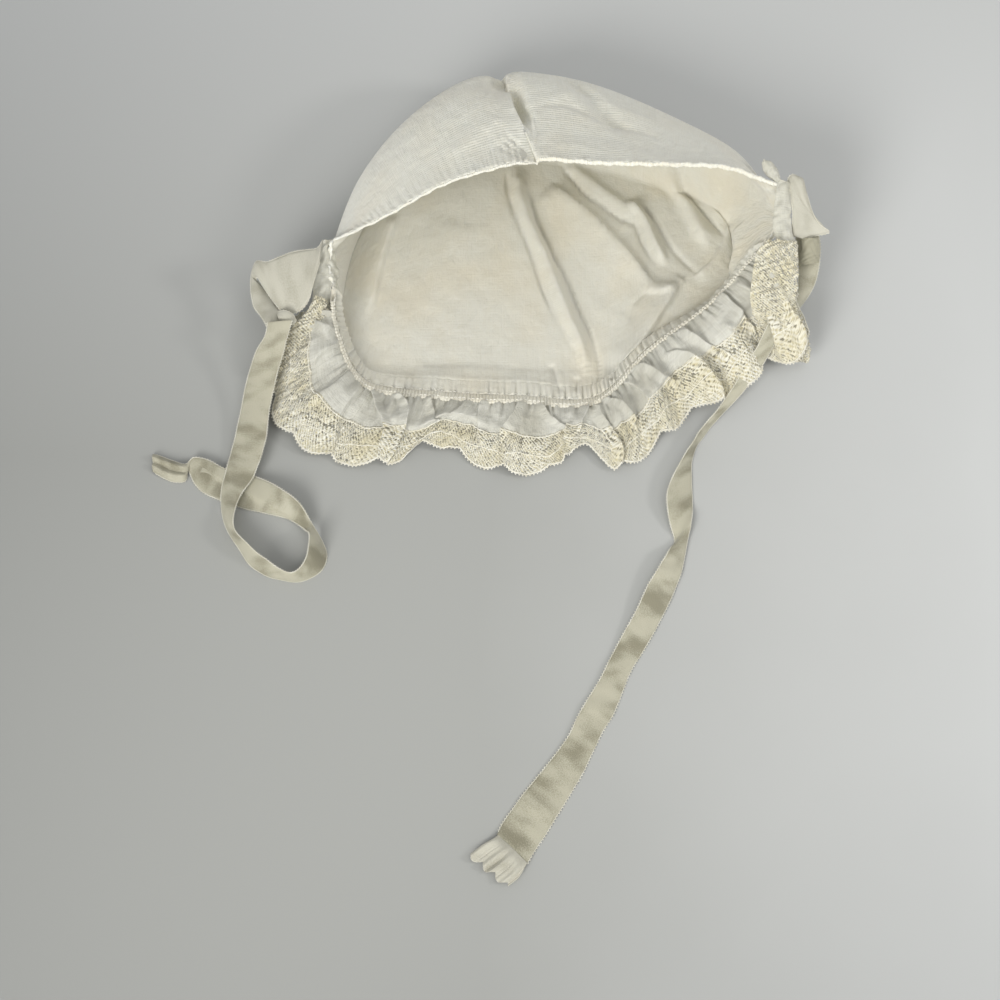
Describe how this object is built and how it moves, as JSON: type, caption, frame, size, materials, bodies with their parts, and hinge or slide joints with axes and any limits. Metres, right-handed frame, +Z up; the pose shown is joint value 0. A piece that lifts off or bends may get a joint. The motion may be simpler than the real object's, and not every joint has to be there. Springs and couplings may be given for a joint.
{
  "type": "baby bonnet",
  "caption": "Newborn's cotton bonnet lying open on its back, with a lining, gathered neck casing, ruffle, lace edging and satin ribbon ties.",
  "frame": {"origin": "on the flat patch under the crown where the bonnet rests", "axes": "+Z up off the rest face; +Y towards the top of the crown, -Y towards the neck edge; +X towards the ear corner at the right of the picture"},
  "size_m": [0.2578, 0.3262, 0.0555],
  "materials": {
    "crown_cotton": "matt ribbed dimity",
    "lining_cotton": "matt plain lawn",
    "ruffle_lawn": "sheer lawn",
    "lace": "cotton thread",
    "satin": "satin"
  },
  "bodies": {
    "root": {"crown": "crown_cotton", "lining": "lining_cotton", "front_hem": "crown_cotton", "neck_casing": "lining_cotton", "ruffle": "ruffle_lawn", "lace_edging": "lace", "left_tie": "satin", "right_tie": "satin", "left_loop": "satin", "right_loop": "satin"}
  },
  "joints": []
}
